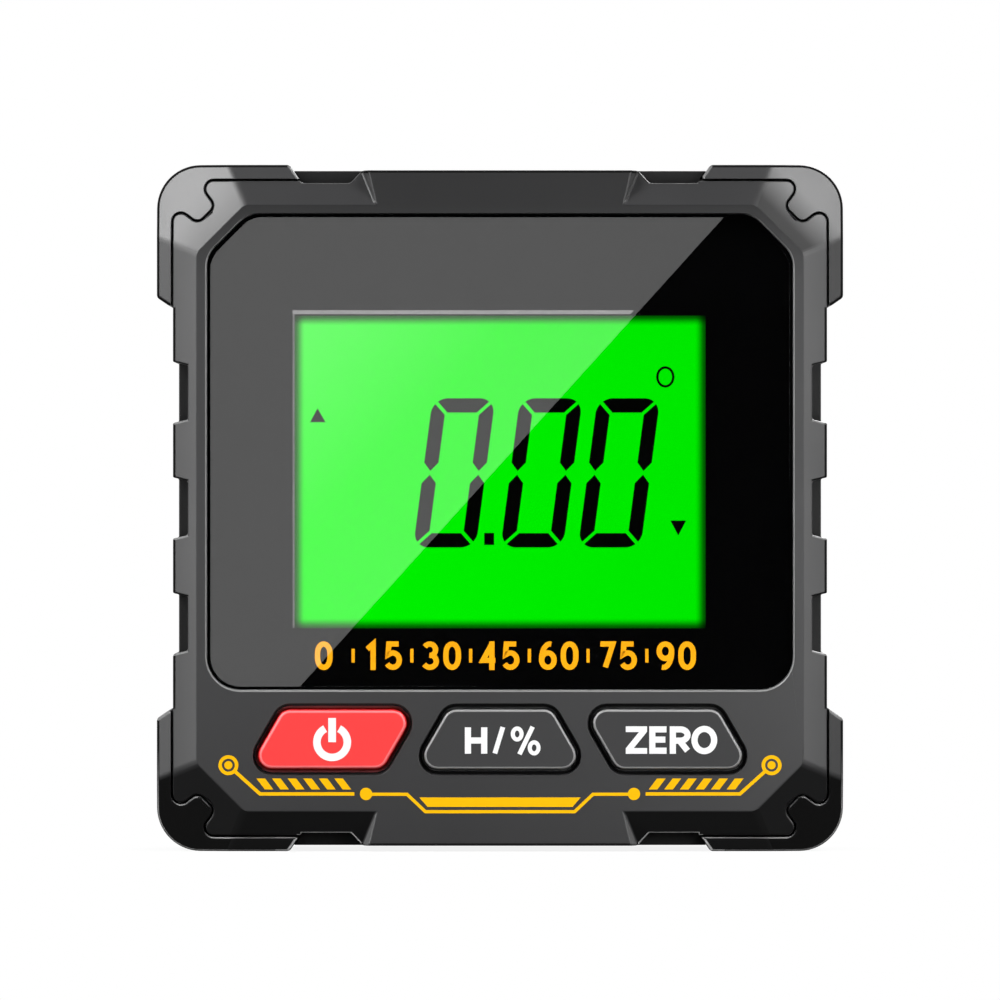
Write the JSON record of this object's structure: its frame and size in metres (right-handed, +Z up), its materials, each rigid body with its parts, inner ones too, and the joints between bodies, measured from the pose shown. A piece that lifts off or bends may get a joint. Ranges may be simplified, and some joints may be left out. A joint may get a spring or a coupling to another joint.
{
  "type": "digital angle gauge",
  "caption": "Square digital angle gauge with bevelled case, keyed corner guards, lit segment display, push keys, magnetic base and hinged battery door.",
  "frame": {"origin": "middle of the base between the lower guard pads, at half depth", "axes": "+Z up, -Y toward the display face, +X to the right seen from the front"},
  "size_m": [0.06, 0.028, 0.06],
  "materials": {
    "case": "fine satin moulding",
    "rear_case": "fine satin moulding",
    "guard": "fine satin moulding",
    "window": "clear polished",
    "window_border": "black film",
    "display": "back-lit green",
    "light_guide": "clear moulding",
    "led": "epoxy",
    "contact_rubber": "silicone strip",
    "board": "solder mask",
    "chip": "moulded package",
    "switch_body": "pressed cover",
    "plunger": "moulded",
    "red_key": "satin moulding",
    "grey_key": "satin moulding",
    "cell": "wrapped can",
    "contact_steel": "nickel plated",
    "magnet": "nickel plated",
    "screw_steel": "blackened"
  },
  "bodies": {
    "housing": {"front_shell": "case", "rear_shell": "rear_case", "guard_top_left": "guard", "guard_top_right": "guard", "guard_low_left": "guard", "guard_low_right": "guard", "lens": "window", "lens_tape": "window_border", "lcd_panel": "display", "light_guide": "light_guide", "backlight_led": "led", "zebra_strip": "contact_rubber", "main_board": "board", "controller_chip": "chip", "tilt_sensor": "chip", "switch_left": "switch_body", "switch_mid": "switch_body", "switch_right": "switch_body", "cell_upper": "cell", "cell_lower": "cell", "contact_bridge": "contact_steel", "contact_positive": "contact_steel", "contact_negative": "contact_steel", "spring_upper": "contact_steel", "spring_lower": "contact_steel", "magnet_front_left": "magnet", "magnet_front_right": "magnet", "magnet_rear_left": "magnet", "magnet_rear_right": "magnet", "case_screws": "screw_steel", "board_screws": "screw_steel"},
    "power_key": {"power_key": "red_key", "plunger_left": "plunger"},
    "mode_key": {"mode_key": "grey_key", "plunger_mid": "plunger"},
    "zero_key": {"zero_key": "grey_key", "plunger_right": "plunger"},
    "battery_door": {"battery_door": "rear_case"}
  },
  "joints": [
    {"name": "power_press", "type": "slide", "parent": "housing", "child": "power_key", "axis": [0, 1, 0], "range_m": [0, 0.0003], "stiffness_N_per_m": 3000, "springref_m": -0.0002},
    {"name": "mode_press", "type": "slide", "parent": "housing", "child": "mode_key", "axis": [0, 1, 0], "range_m": [0, 0.0003], "stiffness_N_per_m": 3000, "springref_m": -0.0002},
    {"name": "zero_press", "type": "slide", "parent": "housing", "child": "zero_key", "axis": [0, 1, 0], "range_m": [0, 0.0003], "stiffness_N_per_m": 3000, "springref_m": -0.0002},
    {"name": "door_hinge", "type": "hinge", "parent": "housing", "child": "battery_door", "pos_m": [0, 0.0129, 0.0186], "axis": [-1, 0, 0], "range_deg": [0, 85]}
  ]
}
